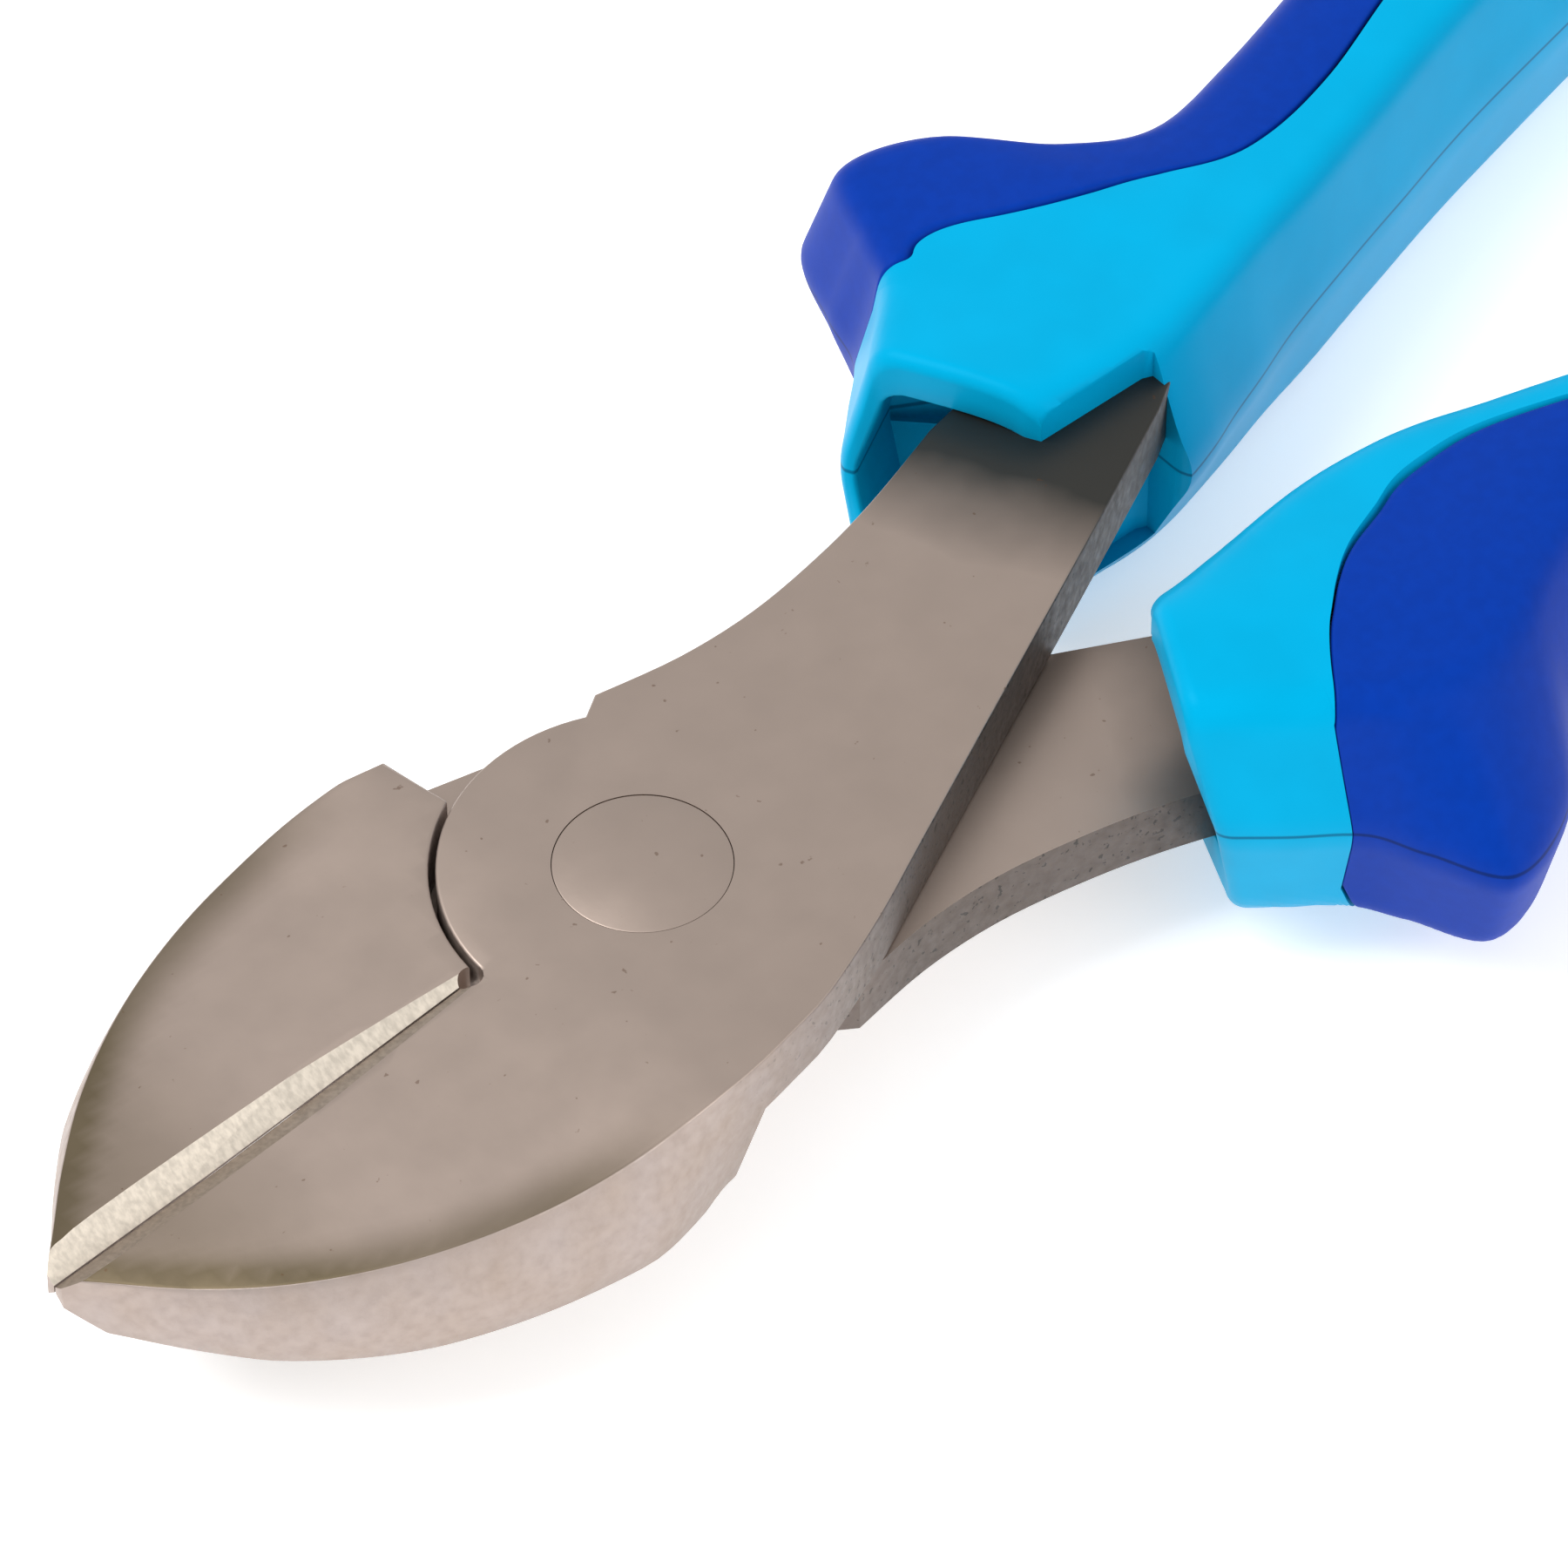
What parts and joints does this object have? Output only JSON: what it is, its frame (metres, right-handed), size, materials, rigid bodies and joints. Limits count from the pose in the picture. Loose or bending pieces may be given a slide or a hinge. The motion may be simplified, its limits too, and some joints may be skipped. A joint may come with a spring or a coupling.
{
  "type": "diagonal cutting pliers",
  "caption": "Side-cutting pliers with lap-jointed forged levers on a flush rivet, bevelled leaf-shaped jaws and two-colour moulded grips with thumb guards.",
  "frame": {"origin": "centre of the rivet's flat rear end, on the pivot axis", "axes": "+Z along the pivot axis towards the front face, -X towards the cutting tip, +X towards the handles, +Y towards the front lever's handle"},
  "size_m": [0.1802, 0.0704, 0.0185],
  "materials": {
    "lever_steel": "satin nickel plate over forged steel, ground bevels",
    "rivet_steel": "satin nickel plate, ground flush",
    "grip_hard": "smooth semi-gloss moulding",
    "grip_soft": "smooth satin soft moulding"
  },
  "bodies": {
    "rear_half": {"rear_lever": "lever_steel", "pivot_rivet": "rivet_steel", "rear_grip_core": "grip_hard", "rear_grip_pad": "grip_soft"},
    "front_half": {"front_lever": "lever_steel", "front_grip_core": "grip_hard", "front_grip_pad": "grip_soft"}
  },
  "joints": [
    {"name": "lever_pivot", "type": "hinge", "parent": "rear_half", "child": "front_half", "pos_m": [0, 0, 0], "axis": [0, 0, 1], "range_deg": [0, 48]}
  ]
}
